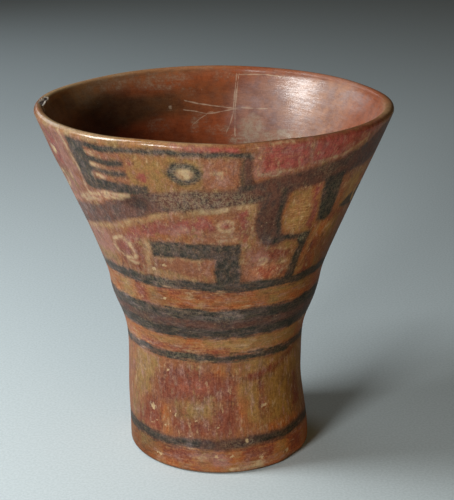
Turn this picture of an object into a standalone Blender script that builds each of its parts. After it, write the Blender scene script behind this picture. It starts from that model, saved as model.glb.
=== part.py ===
"""Kero: a flared clay drinking cup with a soft raised band, a narrow waist and a low foot.

Metres, +Z up. The origin is the centre of the flat underside, and the main painted face looks along -Y.
"""

import math

import bmesh
import bpy
from mathutils import Matrix, Vector

# Heights: the whole cup, then the stretches of its outside from the underside up
CUP_HEIGHT = 0.150
FOOT_TO_WAIST = 0.036
WAIST_TO_BAND = 0.021
BAND_HEIGHT = 0.018
BAND_SHOULDER = 0.009

# Outer radii, and how much wider each next station of the soft raised band is
RIM_RADIUS = 0.0730
WAIST_RADIUS = 0.0372
FOOT_RADIUS = 0.0389
BAND_FOOT_SWELL = 0.0013
BAND_CROWN_SWELL = 0.0059
SHOULDER_SWELL = 0.0022

# How fast the outer radius grows with height
BAND_FOOT_FLARE = 0.24
BAND_CROWN_FLARE = 0.19
SHOULDER_FLARE = 0.36
RIM_FLARE = 0.40

# Wall, lip and floor
WALL_THICKNESS = 0.0055
LIP_THICKNESS = 0.0040
LIP_THINNING_DEPTH = 0.012
FLOOR_THICKNESS = 0.0090
FLOOR_CORNER_RADIUS = 0.012
FOOT_EDGE_RADIUS = 0.0016

# The cup was shaped by hand: the body and the rim stand a little to one side of the foot, and the rim isn't level
BODY_SHIFT = -0.0021
RIM_SHIFT = -0.0006
RIM_RISE = 0.0013

# Damage: a flake gone from the inside of the lip, and a foot edge that is worn away on one side
CHIP_AZIMUTH = -90.0
CHIP_LENGTH = 0.017
CHIP_WIDTH = 0.0044
CHIP_DEPTH = 0.0050
WEAR_AZIMUTH = 54.0
WEAR_HEIGHT = 0.0070
WEAR_DEPTH = 0.0026

# Fineness of the turned surface
TURN_STEPS = 84
OUTER_ROWS = (7, 6, 5, 3, 8)
INNER_ROWS = 11
CORNER_ROWS = 4
LIP_ROWS = 6
FOOT_EDGE_ROWS = 3
CHIP_SIDES = 10
MERGE_DISTANCE = 0.00001

CLAY_COLOUR = (0.36, 0.13, 0.06, 1.0)
CLAY_ROUGHNESS = 0.48


def clear_scene():
    for old in list(bpy.data.objects):
        bpy.data.objects.remove(old, do_unlink=True)


def make_collection(name):
    collection = bpy.data.collections.new(name)
    bpy.context.scene.collection.children.link(collection)
    return collection


def curve_between(low, high, share):
    """Cubic curve from one (height, radius, flare) to the next, as (radius, height)."""
    span = high[0] - low[0]
    square = share * share
    cube = square * share
    radius = (2 * cube - 3 * square + 1) * low[1] + (3 * square - 2 * cube) * high[1]
    radius += (cube - 2 * square + share) * span * low[2] + (cube - square) * span * high[2]
    return radius, low[0] + span * share


def outer_stations():
    """Height, radius and flare of the outside, from the foot's edge up to the lip."""
    band_foot = FOOT_TO_WAIST + WAIST_TO_BAND
    band_foot_radius = WAIST_RADIUS + BAND_FOOT_SWELL
    band_crown = band_foot + BAND_HEIGHT
    band_crown_radius = band_foot_radius + BAND_CROWN_SWELL
    shoulder = band_crown + BAND_SHOULDER
    shoulder_radius = band_crown_radius + SHOULDER_SWELL
    rim_height = CUP_HEIGHT - LIP_THICKNESS / 2
    return (
        (FOOT_EDGE_RADIUS, FOOT_RADIUS, 0.0),
        (FOOT_TO_WAIST, WAIST_RADIUS, 0.0),
        (band_foot, band_foot_radius, BAND_FOOT_FLARE),
        (band_crown, band_crown_radius, BAND_CROWN_FLARE),
        (shoulder, shoulder_radius, SHOULDER_FLARE),
        (rim_height, RIM_RADIUS, RIM_FLARE),
    )


def outer_points():
    """The outside, from the lip down to the foot's edge."""
    stations = outer_stations()
    points = [curve_between(stations[0], stations[1], 0.0)]
    for low, high, rows in zip(stations, stations[1:], OUTER_ROWS):
        for row in range(rows):
            points.append(curve_between(low, high, (row + 1) / rows))
    points.reverse()
    return points


def outer_radius(height):
    stations = outer_stations()
    for low, high in zip(stations, stations[1:]):
        if height <= high[0]:
            share = max(0.0, (height - low[0]) / (high[0] - low[0]))
            return curve_between(low, high, share)[0]
    return stations[-1][1]


def wall_at(height):
    """Thickness of the wall, which thins towards the lip."""
    share = (CUP_HEIGHT - height) / LIP_THINNING_DEPTH
    share = min(1.0, max(0.0, share))
    return LIP_THICKNESS + (WALL_THICKNESS - LIP_THICKNESS) * share * share * (3 - 2 * share)


def arc_points(centre, radius, start, end, rows):
    """Points between two angles in degrees, without the first one."""
    points = []
    for row in range(rows):
        angle = math.radians(start + (end - start) * (row + 1) / rows)
        points.append((centre[0] + radius * math.cos(angle), centre[1] + radius * math.sin(angle)))
    return points


def cup_profile():
    """Half section as (radius, height): floor, inner wall, lip, outer wall, foot edge, underside."""
    corner_height = FLOOR_THICKNESS + FLOOR_CORNER_RADIUS
    corner_radius = outer_radius(corner_height) - WALL_THICKNESS - FLOOR_CORNER_RADIUS
    points = [(0.0, FLOOR_THICKNESS), (corner_radius, FLOOR_THICKNESS)]
    points += arc_points((corner_radius, corner_height), FLOOR_CORNER_RADIUS, -90, 0, CORNER_ROWS)

    lip_round = LIP_THICKNESS / 2
    rim_height = CUP_HEIGHT - lip_round
    for row in range(INNER_ROWS):
        height = corner_height + (rim_height - corner_height) * (row + 1) / INNER_ROWS
        points.append((outer_radius(height) - wall_at(height), height))

    lip_centre = (RIM_RADIUS - lip_round, rim_height)
    points[-1] = (RIM_RADIUS - LIP_THICKNESS, rim_height)
    points += arc_points(lip_centre, lip_round, 180, 0, LIP_ROWS)
    points += outer_points()[1:]

    edge_centre = (FOOT_RADIUS - FOOT_EDGE_RADIUS, FOOT_EDGE_RADIUS)
    points += arc_points(edge_centre, FOOT_EDGE_RADIUS, 0, -90, FOOT_EDGE_ROWS)
    points.append((0.0, 0.0))
    return points


def turned_mesh(name, profile):
    """Mesh of a half section turned about the Z axis by a Screw modifier."""
    outline = bpy.data.meshes.new(name + "_outline")
    vertices = [(radius, 0.0, height) for radius, height in profile]
    edges = [(index, index + 1) for index in range(len(profile) - 1)]
    outline.from_pydata(vertices, edges, [])
    guide = bpy.data.objects.new(name + "_guide", outline)
    bpy.context.scene.collection.objects.link(guide)

    screw = guide.modifiers.new("turn", "SCREW")
    screw.axis = "Z"
    screw.angle = math.radians(360)
    screw.steps = TURN_STEPS
    screw.render_steps = TURN_STEPS
    screw.use_merge_vertices = True
    screw.merge_threshold = MERGE_DISTANCE

    depsgraph = bpy.context.evaluated_depsgraph_get()
    mesh = bpy.data.meshes.new_from_object(guide.evaluated_get(depsgraph))
    mesh.name = name
    bpy.data.objects.remove(guide, do_unlink=True)
    return mesh


def hand_shape(mesh):
    """Carries the body to one side of the foot, and lifts one side of the rim."""
    for vertex in mesh.vertices:
        point = vertex.co
        lean = min(1.0, point.z / FOOT_TO_WAIST)
        rise = (point.z / CUP_HEIGHT) ** 2
        point.z += RIM_RISE / 2 * rise * point.x / RIM_RADIUS
        point.x += BODY_SHIFT * lean * lean * (3 - 2 * lean) + RIM_SHIFT * rise


def direction(azimuth):
    """Level direction at an azimuth in degrees: 0 is the painted face, +90 is +X."""
    angle = math.radians(azimuth)
    return Vector((math.sin(angle), -math.cos(angle), 0.0))


def place_cutter(cutter, collection):
    collection.objects.link(cutter)
    cutter.hide_render = True
    cutter.display_type = "WIRE"


def make_chip_cutter(collection):
    """Long low ellipsoid that takes the flake out of the inside of the lip."""
    shape = bmesh.new()
    bmesh.ops.create_uvsphere(shape, u_segments=CHIP_SIDES, v_segments=CHIP_SIDES, radius=0.5)
    bmesh.ops.scale(shape, vec=(CHIP_WIDTH, CHIP_LENGTH, CHIP_DEPTH), verts=shape.verts)
    mesh = bpy.data.meshes.new("lip_chip_cutter")
    shape.to_mesh(mesh)
    shape.free()

    cutter = bpy.data.objects.new("lip_chip_cutter", mesh)
    outward = direction(CHIP_AZIMUTH)
    turn = Matrix.Rotation(math.atan2(outward.y, outward.x), 4, "Z")
    place = outward * (RIM_RADIUS - LIP_THICKNESS)
    place.x += BODY_SHIFT + RIM_SHIFT
    place.z = CUP_HEIGHT - LIP_THICKNESS / 2 + RIM_RISE / 2 * outward.x
    cutter.matrix_world = Matrix.Translation(place) @ turn
    place_cutter(cutter, collection)
    return cutter


def make_wear_cutter(collection):
    """Leaning block whose inner face shaves the edge of the foot."""
    block_height = WEAR_HEIGHT * 4
    block_width = FOOT_RADIUS * 2
    block_depth = WEAR_DEPTH * 4
    shape = bmesh.new()
    bmesh.ops.create_cube(shape, size=1.0)
    bmesh.ops.scale(shape, vec=(block_depth, block_width, block_height), verts=shape.verts)
    bmesh.ops.translate(shape, vec=(block_depth / 2, 0.0, 0.0), verts=shape.verts)
    mesh = bpy.data.meshes.new("foot_wear_cutter")
    shape.to_mesh(mesh)
    shape.free()

    cutter = bpy.data.objects.new("foot_wear_cutter", mesh)
    outward = direction(WEAR_AZIMUTH)
    turn = Matrix.Rotation(math.atan2(outward.y, outward.x), 4, "Z")
    lean = Matrix.Rotation(math.atan2(WEAR_DEPTH, WEAR_HEIGHT), 4, "Y")
    place = outward * (FOOT_RADIUS - WEAR_DEPTH)
    cutter.matrix_world = Matrix.Translation(place) @ turn @ lean
    place_cutter(cutter, collection)
    return cutter


def cut(piece, cutter, name):
    modifier = piece.modifiers.new(name, "BOOLEAN")
    modifier.operation = "DIFFERENCE"
    modifier.solver = "EXACT"
    modifier.object = cutter


def clay_material():
    material = bpy.data.materials.new("painted_clay")
    material.use_nodes = True
    shader = material.node_tree.nodes["Principled BSDF"]
    shader.inputs["Base Color"].default_value = CLAY_COLOUR
    shader.inputs["Roughness"].default_value = CLAY_ROUGHNESS
    shader.inputs["Metallic"].default_value = 0.0
    return material


def make_cup(parts, cutters):
    mesh = turned_mesh("kero_cup", cup_profile())
    hand_shape(mesh)
    mesh.materials.append(clay_material())
    mesh.shade_smooth()
    mesh.set_sharp_from_angle(angle=math.radians(50))
    cup = bpy.data.objects.new("kero_cup", mesh)
    parts.objects.link(cup)
    cut(cup, make_chip_cutter(cutters), "lip_chip")
    cut(cup, make_wear_cutter(cutters), "foot_wear")
    return cup


def main():
    clear_scene()
    parts = make_collection("kero_cup")
    cutters = make_collection("cutters")
    make_cup(parts, cutters)


main()
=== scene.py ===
"""Looks of the painted clay kero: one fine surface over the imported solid, its paint, wear and damage.

Positions are metres in the part's frame. The painted design is laid out on the unrolled outside, as
(azimuth in degrees, height in millimetres): azimuth 0 faces the camera and +90 is the cup's right side.
"""

import math

import bpy
import numpy as np
from mathutils import Matrix, Vector


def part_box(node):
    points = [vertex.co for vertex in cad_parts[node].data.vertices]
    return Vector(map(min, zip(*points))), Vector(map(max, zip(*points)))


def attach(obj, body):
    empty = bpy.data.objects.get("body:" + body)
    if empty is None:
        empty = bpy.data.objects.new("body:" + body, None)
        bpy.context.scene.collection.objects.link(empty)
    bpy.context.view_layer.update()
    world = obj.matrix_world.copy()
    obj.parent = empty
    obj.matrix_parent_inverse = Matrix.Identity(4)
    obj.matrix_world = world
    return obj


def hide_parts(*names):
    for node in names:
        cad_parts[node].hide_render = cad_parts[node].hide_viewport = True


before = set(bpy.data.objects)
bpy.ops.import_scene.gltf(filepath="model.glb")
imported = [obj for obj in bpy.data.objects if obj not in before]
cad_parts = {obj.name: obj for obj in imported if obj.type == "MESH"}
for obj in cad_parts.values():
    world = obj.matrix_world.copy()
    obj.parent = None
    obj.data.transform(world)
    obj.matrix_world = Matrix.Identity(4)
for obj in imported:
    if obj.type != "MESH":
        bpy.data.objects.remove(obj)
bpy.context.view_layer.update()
MM = 0.001

# The turned form, in millimetres
CUP_LOW, CUP_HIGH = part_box("kero_cup")
RIM_RADIUS = (CUP_HIGH.y - CUP_LOW.y) / 2 / MM
CUP_HEIGHT = 150.0
FOOT_EDGE = 1.6
FOOT_RADIUS = 38.9
WAIST = 36.0
WALL = 5.5
LIP = 4.0
LIP_THINNING_DEPTH = 12.0
LIP_SQUARENESS = 2.25
FLOOR = 9.0
FLOOR_CORNER = 12.0
BODY_SHIFT = -2.1
RIM_SHIFT = -0.6
RIM_RISE = 1.3

# The solid's stations, from the foot's edge to the lip: height, radius, and how fast the radius grows there
STATIONS = (
    (FOOT_EDGE, FOOT_RADIUS, 0.0),
    (WAIST, 37.2, 0.0),
    (57.0, 38.5, 0.24),
    (75.0, 44.4, 0.19),
    (84.0, 46.6, 0.36),
    (CUP_HEIGHT - LIP / 2, RIM_RADIUS, 0.40),
)

# Fineness of the surface
COLUMNS = 400
OUTER_STEP = 0.87
LIP_ROWS = 14
INNER_STEP = 1.25
INNER_DEEP_STEP = 4.6
INNER_FINE_DEPTH = 32.0
CORNER_ROWS = 5
DISC_ROWS = 4
DISC_HOLE = 0.4

# Stand-ins for a distance that is out of reach and for nearly nothing
FAR = 1e3
TINY = 1e-9


def smooth(share):
    share = np.clip(share, 0.0, 1.0)
    return share * share * (3 - 2 * share)


def bell(value):
    return np.exp(-2.0 * value * value)


def gap_between(azimuth, centre):
    """Signed turn from centre to azimuth, between -180 and 180 degrees."""
    return (azimuth - centre + 180.0) % 360.0 - 180.0


def outer_radius(height):
    """Outer radius at a height: cubic curves through the stations of the form."""
    height = np.asarray(height, float)
    radius = np.full(height.shape, FOOT_RADIUS)
    for low, high in zip(STATIONS, STATIONS[1:]):
        span = high[0] - low[0]
        share = np.clip((height - low[0]) / span, 0.0, 1.0)
        square = share * share
        cube = square * share
        value = (2 * cube - 3 * square + 1) * low[1] + (3 * square - 2 * cube) * high[1]
        value += (cube - 2 * square + share) * span * low[2] + (cube - square) * span * high[2]
        radius = np.where(height >= low[0], value, radius)
    return radius


def wall_at(height):
    share = smooth((CUP_HEIGHT - height) / LIP_THINNING_DEPTH)
    return LIP + (WALL - LIP) * share


def arc(centre, radius, start, end, rows):
    angles = np.radians(np.linspace(start, end, rows + 1)[1:])
    return np.stack([centre[0] + radius * np.cos(angles), centre[1] + radius * np.sin(angles)], 1)


def flattened_lip(middle, height):
    """The lip's rounded section, worn a little flat on top."""
    angles = np.radians(np.linspace(0, 180, LIP_ROWS + 1)[1:])
    across, up = np.cos(angles), np.sin(angles)
    reach = (np.abs(across) ** LIP_SQUARENESS + up ** LIP_SQUARENESS) ** (-1 / LIP_SQUARENESS)
    return np.stack([middle + LIP / 2 * across * reach, height + LIP / 2 * up * reach], 1)


def half_section():
    """Points (radius, height) from the middle of the underside round to the middle of the floor inside."""
    lip_height = CUP_HEIGHT - LIP / 2
    corner = FLOOR + FLOOR_CORNER
    corner_radius = float(outer_radius(corner)) - WALL - FLOOR_CORNER

    underside = [(radius, 0.0) for radius in np.linspace(DISC_HOLE, FOOT_RADIUS - FOOT_EDGE, DISC_ROWS + 1)]
    foot = arc((FOOT_RADIUS - FOOT_EDGE, FOOT_EDGE), FOOT_EDGE, -90, 0, CORNER_ROWS)
    heights = np.linspace(FOOT_EDGE, lip_height, round((lip_height - FOOT_EDGE) / OUTER_STEP) + 1)[1:]
    outer = np.stack([outer_radius(heights), heights], 1)
    lip = flattened_lip(RIM_RADIUS - LIP / 2, lip_height)
    fine = np.arange(lip_height - INNER_STEP, CUP_HEIGHT - INNER_FINE_DEPTH, -INNER_STEP)
    deep = np.linspace(fine[-1], corner, round((fine[-1] - corner) / INNER_DEEP_STEP) + 1)[1:]
    heights = np.concatenate([fine, deep])
    inner = np.stack([outer_radius(heights) - wall_at(heights), heights], 1)
    turn = arc((corner_radius, corner), FLOOR_CORNER, 0, -90, CORNER_ROWS)
    floor = [(radius, FLOOR) for radius in np.linspace(corner_radius, DISC_HOLE, DISC_ROWS + 1)[1:]]
    section = np.concatenate([underside, foot, outer, lip, inner, turn, floor])
    lip_top = len(underside) + len(foot) + len(outer) + LIP_ROWS // 2 - 1
    return section, lip_top


# Dents and lumps of the hand-made form: azimuth, height, half width in degrees, half height in mm, and how
# far the surface stands out (+) or lies in (-), in mm
LUMPS = (
    (-92, 100, 30, 14, -0.35), (-85, 131, 26, 9, 0.3), (-96, 68, 26, 7, 0.45), (-88, 78, 30, 5, -0.2),
    (-90, 24, 30, 12, 0.25), (92, 104, 26, 12, 0.25), (88, 66, 26, 7, 0.35), (95, 45, 30, 14, 0.2),
    (20, 112, 22, 14, 0.2), (-30, 92, 18, 10, -0.2), (150, 118, 30, 16, -0.3), (-150, 60, 28, 14, 0.25),
    (8, 30, 20, 12, -0.18),
)

# They fade over these stretches, in mm, towards the underside, the rim and the cup's axis
LUMPS_FADE_LOW = 8.0
LUMPS_FADE_HIGH = 12.0
LUMPS_FADE_AXIS = 30.0

# The rim rises and dips round the mouth: azimuth, half width in degrees, height in mm
RIM_WAVES = (
    (180, 34, 0.35), (-126, 26, -0.55), (112, 26, -0.6), (-20, 15, 0.5), (6, 8, -0.4), (22, 10, 0.25),
)

# The height in mm where these waves begin, and the stretch over which they grow
WAVES_START = 110.0
WAVES_STRETCH = 40.0


def shape_point_rows(azimuth, section):
    """Positions in mm of the whole surface, with the lean, lumps and waves of hand work."""
    radius, height = section[:, :1], section[:, 1:]
    angle = np.radians(azimuth)
    out = 0.0
    for centre, level, wide, tall, amount in LUMPS:
        out = out + amount * bell(gap_between(azimuth, centre) / wide) * bell((height - level) / tall)
    out = out * smooth(height / LUMPS_FADE_LOW) * smooth((CUP_HEIGHT - height) / LUMPS_FADE_HIGH)
    out = out * smooth(radius / LUMPS_FADE_AXIS)
    x = (radius + out) * np.sin(angle)
    y = -(radius + out) * np.cos(angle)
    rise = (height / CUP_HEIGHT) ** 2
    z = height + RIM_RISE / 2 * rise * x / RIM_RADIUS
    waving = smooth((height - WAVES_START) / WAVES_STRETCH)
    for centre, wide, amount in RIM_WAVES:
        z = z + amount * bell(gap_between(azimuth, centre) / wide) * waving
    x = x + BODY_SHIFT * smooth(height / WAIST) + RIM_SHIFT * rise
    return np.stack([x, y, z], -1)


# The foot's edge is worn away on one side, as a slanting facet. Nothing above the limit is touched
WEAR_AZIMUTH = 54.0
WEAR_HEIGHT = 4.0
WEAR_DEPTH = 1.2
WEAR_LIMIT = 6.0


def wear_foot(points):
    """Pulls what stands outside the worn facet back onto it. Returns how far each point moved, in mm."""
    angle = math.radians(WEAR_AZIMUTH)
    lean = math.atan2(WEAR_DEPTH, WEAR_HEIGHT)
    outward = np.array([math.sin(angle), -math.cos(angle), 0.0])
    normal = outward * math.cos(lean) - np.array([0.0, 0.0, 1.0]) * math.sin(lean)
    start = outward * (FOOT_RADIUS - WEAR_DEPTH)
    beyond = np.maximum(0.0, (points - start) @ normal)
    beyond = np.where(points[..., 2] < WEAR_LIMIT, beyond, 0.0)
    points -= beyond[..., None] * outward / (outward @ normal)
    return beyond


# Flakes gone from the lip and the inside wall: azimuth, distance in mm down the inside from the top of the
# lip, half length and half height in mm, and depth in mm
LIP_FLAKES = (
    (-90.5, 1, 5.6, 1.7, 1.1), (-85, 2.6, 3.6, 1.7, 0.9), (-96, 1.4, 2.6, 1.2, 0.6),
)

# Small pits in the outside: azimuth, height, half width and half height in mm, and depth in mm
OUTER_PITS = (
    (-44.3, 25.4, 1.6, 1.9, 0.45), (-41, 20.1, 0.7, 0.6, 0.25), (-45.5, 17.8, 1.1, 0.5, 0.2),
    (-34.4, 19.2, 0.6, 0.6, 0.15), (-30, 26.4, 0.6, 0.6, 0.15), (-26.4, 24.6, 0.8, 0.9, 0.25),
    (-12.5, 23.3, 0.7, 0.7, 0.2), (-16.5, 16.7, 0.6, 0.5, 0.15), (-18.2, 15.1, 0.6, 0.5, 0.15),
    (-31.1, 44.1, 0.9, 0.6, 0.2), (-12.5, 44.7, 0.8, 0.5, 0.15), (-51.3, 40.7, 0.8, 0.6, 0.2),
    (1.4, 20.8, 0.7, 0.8, 0.2), (32.7, 28.3, 1.9, 0.9, 0.35), (18.5, 14.2, 1.2, 0.9, 0.25),
    (-1.3, 8, 1.3, 0.8, 0.2), (8.4, 7.8, 1.3, 0.9, 0.2), (27.6, 5.9, 1.3, 1.1, 0.3),
    (48.1, 4.5, 1.8, 1.2, 0.3), (-40.4, 4.7, 1.7, 1.3, 0.35), (-22.5, 95, 1.3, 1, 0.3),
    (-28.4, 92.4, 1.2, 1.2, 0.35), (-25.6, 79, 1, 0.9, 0.3), (-65, 137.5, 2.2, 1.6, 0.2),
    (140, 96, 1.8, 1.4, 0.35), (205, 40, 1.6, 1.2, 0.35), (160, 22, 2.2, 1.4, 0.4),
)

# A flake's or pit's wall: where it ends and how wide it is, as shares of the half width
HOLE_END = 1.08
HOLE_SLOPE = 0.42


def surface_normals(points):
    """Outward normals of a grid of points that closes round its columns."""
    across = np.roll(points, -1, axis=1) - np.roll(points, 1, axis=1)
    along = np.gradient(points, axis=0)
    normals = np.cross(across, along)
    return normals / np.maximum(np.linalg.norm(normals, axis=-1, keepdims=True), TINY)


def dent(points, section, azimuth, distance, flakes):
    """Lowers the surface along its normal inside each flake. Returns the share of the flake's depth."""
    outward = surface_normals(points)
    depth = np.zeros(points.shape[:2])
    share = np.zeros(points.shape[:2])
    for centre, level, wide, tall, amount in flakes:
        across = np.radians(gap_between(azimuth, centre)) * section[:, :1] / wide
        along = (distance[:, None] - level) / tall
        hole = smooth((HOLE_END - np.hypot(across, along)) / HOLE_SLOPE)
        depth = np.maximum(depth, hole * amount)
        share = np.maximum(share, hole)
    points -= depth[..., None] * outward
    return share


# The painted design. A stroke is its width in mm and its points, and a patch is its corners. A spot is
# azimuth, height, half width and half height in mm, and a ring is the same with the width of its line

# Dark lines and bars of the main face, and the ring of the eye
DARK_STROKES = (
    (2.8, (-48, 145.6), (-38, 145.5), (-31, 145.4)),
    (2.1, (-31, 145.5), (-12, 145.7), (3, 146.5), (9, 146.4)),
    (2.7, (-44, 139.6), (-29.5, 139.7)), (2.5, (-44, 135.2), (-29.5, 135.3)),
    (1.1, (8.3, 145), (8.6, 138), (8.7, 131.5)), (2.6, (8.6, 132), (12, 131.8)),
    (1.9, (5, 146.5), (10.8, 146), (11.4, 144.6)), (2.6, (25, 106.4), (31, 106.9), (38, 106.7)),
    (3.4, (-90, 13.3), (-62, 12.9), (-44, 12.9), (-34, 13)),
    (2.4, (-34, 13), (-22, 13.2), (-12, 13.4)), (5, (-43, 87), (-27, 86.8)),
    (2.8, (26, 13.8), (46, 13.9), (66, 13.7), (90, 13.3)),
    (1.9, (24.2, 129), (23.8, 124), (24.5, 116.4), (25.8, 109.7)),
)
DARK_PATCHES = (
    ((-51.2, 146.8), (-42.6, 146.8), (-42.8, 131.2), (-33, 131.4), (-22, 130.6), (-22, 127),
     (-33, 126.7), (-46, 125.7), (-48.8, 126.6), (-50.3, 132)),
    ((-27.2, 106.4), (10.2, 106.6), (11.2, 99), (12.3, 92), (13.2, 85.5), (0.7, 85.5), (0.5, 99.4),
     (-27, 99.2)),
    ((35.4, 108.2), (42.4, 108), (41.8, 100), (40.4, 92), (40.6, 85.5), (33.4, 85.5), (35.2, 90),
     (37.8, 102), (36.2, 105)),
    ((40.2, 132), (49.4, 133), (50.8, 124), (51.4, 113.6), (48.5, 111), (43.4, 112), (41.4, 119),
     (40.2, 126)),
    ((56.5, 114.9), (63, 118.2), (80, 121.5), (80, 114), (66, 112.8), (59.5, 113.2)),
)
EYE = (-9.0, 137.3, 4.5, 3.5, 2.8)

# The wide plum band that runs across the face, with its hanging lobe
PLUM_STROKES = (
    (3.7, (10.3, 145), (10.4, 138), (10.6, 131)), (2, (-26, 129.2), (-30, 128.4), (-36, 127.8)),
)
PLUM_PATCHES = (
    ((-80, 111.5), (-70, 114), (-60, 116), (-50, 117), (-44, 119.8), (-38, 122.8), (-31, 125.8),
     (-26, 127.4), (-20, 128.3), (-13, 129.2), (-5, 130.4), (8, 131.4), (12.6, 134), (20, 134.9),
     (27, 136.1), (38, 137.9), (46, 139.4), (52, 141), (57, 142.8), (63, 145.6), (74, 148.5), (77, 140),
     (72, 132.6), (62, 131.6), (54, 131), (44, 130), (30, 129.2), (26, 127), (15.3, 124.6), (8, 124.2),
     (0, 122.8), (-10, 121.2), (-20, 119.6), (-25, 117.6), (-31, 115.8), (-40, 112.8), (-50, 109.4),
     (-60, 107), (-70, 104.8), (-80, 103.5)),
    ((15.2, 128), (15.5, 119), (16, 112), (17.2, 107.8), (19.5, 105), (23, 103.8), (27, 104),
     (29.8, 105.6), (29, 107.8), (27, 109.5), (25.4, 113), (25, 120), (26.2, 129)),
)

# Crimson along the rim
CRIMSON_PATCHES = (
    ((14.5, 150.2), (30, 150.2), (30.4, 138.2), (27, 137.9), (20, 137.4), (14.8, 137.4)),
    ((31.2, 150.2), (65, 150.2), (62, 148.2), (57, 145.8), (51.9, 143.8), (47.3, 142.2), (42, 140.8),
     (34, 138.9), (31.4, 138.4)),
    ((-12.4, 149.2), (7.6, 149.6), (7.6, 147), (-4, 146.9), (-11.4, 147.5)),
)

# Dull madder red
MADDER_PATCHES = (
    ((-44.5, 104.6), (-35, 109), (-25, 113.2), (-12.5, 116.6), (-1.4, 118.6), (-0.6, 114), (-3, 112.6),
     (-13, 111.2), (-26, 108.6), (-30, 106.6), (-40, 103.4)),
    ((9.2, 121.4), (13, 121.6), (13.2, 112.6), (12.4, 107.8), (9.2, 108.8), (10, 114.8)),
    ((35.6, 129.2), (38.4, 128.8), (40.4, 118.6), (42, 110.4), (39.6, 110.2), (37.7, 118.4)),
    ((-68, 146), (-60, 146), (-57, 137), (-60, 129), (-68, 131)),
)
MADDER_SPOTS = (
    (-41.3, 100.5, 2.9, 2.9), (4.3, 115.2, 1.4, 0.8), (-23.2, 134.6, 1.6, 1.5), (-26.4, 140, 1.2, 1.6),
)

# Salmon
PEACH_STROKES = (
    (2.4, (-41, 142.4), (-28, 143.2)), (1.8, (-41, 137.1), (-29, 137.5)),
    (1.8, (-41, 132.5), (-29, 132.9)),
)
PEACH_PATCHES = (
    ((-4.2, 144.2), (7.6, 144.4), (8.2, 131.8), (-1.6, 131.4)),
    ((-26.8, 98.8), (0.2, 99), (0.2, 91.6), (-12, 90.8), (-20, 92.2), (-26.6, 93.2)),
    ((12.4, 104), (20, 103.6), (22.6, 97), (21, 87.5), (13.2, 87)),
    ((-9.4, 107.2), (9, 107.4), (9, 110.6), (-9.4, 109.6)),
)

# Pink veils and outlines
ROSE_STROKES = (
    (2.2, (13.8, 136.4), (21, 136.4), (27.5, 137.3), (34.3, 138.6), (41.6, 140), (47.3, 141.3),
     (51.9, 142.9), (57, 144.9), (62, 147.2), (67, 150)),
    (1.4, (43, 142.6), (47.7, 144.1), (53.1, 146.3), (59, 149.4)),
    (1.1, (30.4, 148.8), (31, 140)),
    (1.5, (-52.9, 147), (-51.6, 138.1), (-49.8, 130), (-50, 124), (-52, 121.5)),
    (1.3, (-57.5, 147), (-56, 138), (-53.7, 131.6), (-55, 125), (-56.8, 122)),
    (3.4, (-68, 116.4), (-56, 120), (-48, 122.6), (-40, 124.6)),
)
ROSE_PATCHES = (
    ((-68, 105.5), (-58, 107.2), (-50, 105), (-49, 97), (-56, 94), (-68, 95)),
    ((-20, 111), (-10, 113.4), (-5, 112), (-14, 110.4)),
    ((12.6, 149.6), (15.5, 149.6), (15.4, 136), (12.2, 136)),
    ((-12, 148.6), (-2, 149.2), (-3, 147.6), (-11, 147.4)),
    ((15.5, 102), (21, 102.5), (22, 97), (16, 96)),
    ((-60, 148), (-55, 148), (-52, 132), (-54, 124), (-60, 126)),
    ((-70, 126), (-60, 126), (-60, 119), (-70, 117)),
    ((-16, 9.6), (3, 10), (6, 4.5), (-14, 3.8)),
)

# Brighter orange slip
ORANGE_PATCHES = (
    ((34.2, 129.4), (41.2, 128.6), (42.8, 118), (44.8, 109), (43, 106.4), (37.8, 119.8)),
    ((26.2, 128), (28.4, 128.6), (27, 118), (28.6, 109.2), (26.4, 110.4), (25.4, 118)),
    ((-38, 30), (-30.5, 29), (-29.5, 16.4), (-36.5, 16.4)),
    ((14.2, 31.5), (17.6, 31), (19.6, 21), (16, 20)),
    ((0, 49.5), (8, 49.5), (7, 44.5), (1, 44)), ((34, 19.6), (64, 26.5), (64, 16), (36, 16)),
    ((42, 101), (51.5, 99), (54, 90), (52, 86.5), (43.4, 86)),
    ((46.5, 111), (52, 110), (52, 103), (45.6, 102)),
)

# Brown-red washes that have run and rubbed
BRICK_PATCHES = (
    ((-40, 36), (-37, 43), (-30, 46.5), (-12, 46), (-6, 44.5), (5, 42.5), (13.5, 43), (13.5, 31),
     (6, 32.5), (0, 35), (-8, 33.5), (-20, 33), (-30, 30.5), (-38, 31)),
    ((-55, 22), (-49, 29), (-39.5, 30), (-38.5, 22), (-39, 16.5), (-48, 16.5), (-58, 16.5)),
    ((-28, 22), (-4, 23), (2, 17), (-26, 16.5)),
    ((-1, 28), (4, 30), (9, 32.4), (14, 31), (13.4, 24), (11, 18), (-1, 17.5)),
    ((-34, 10.5), (-16, 10.6), (-18, 5), (-36, 4.5)),
    ((16, 10.8), (38, 10.8), (36, 5.4), (18, 5.2)), ((50, 10.8), (64, 10.8), (62, 4), (52, 4)),
    ((-44, 84), (-36, 84), (-37, 76), (-43, 76)),
    ((18, 42.4), (38, 44.8), (58, 50), (60, 47.6), (38, 42.4), (18, 40.2)),
    ((30, 38), (34, 38), (36, 24), (31, 24)), ((62, 36), (70, 36), (70, 22), (60, 21)),
    ((19, 102), (34, 103), (35, 98), (27, 96.5), (20, 98)),
    ((20, 94), (30, 95), (34, 90), (22, 89.5)),
    ((44, 104), (50, 104), (49, 96), (50, 88), (44, 88)),
    ((-48, 104), (-34, 105), (-31, 98), (-34, 92), (-46, 93)),
    ((-72, 108), (-56, 110), (-56, 104), (-72, 102)),
    ((-82, 142), (-72, 142), (-70, 130), (-80, 126)),
    ((50, 112.4), (57, 113.2), (64, 112.6), (62, 110.6), (52, 110.6)),
    ((-30, 84), (14, 84.2), (12, 82.6), (-28, 82.2)),
    ((-52, 57.6), (8, 55.6), (6, 53.8), (-52, 54)),
)

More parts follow.
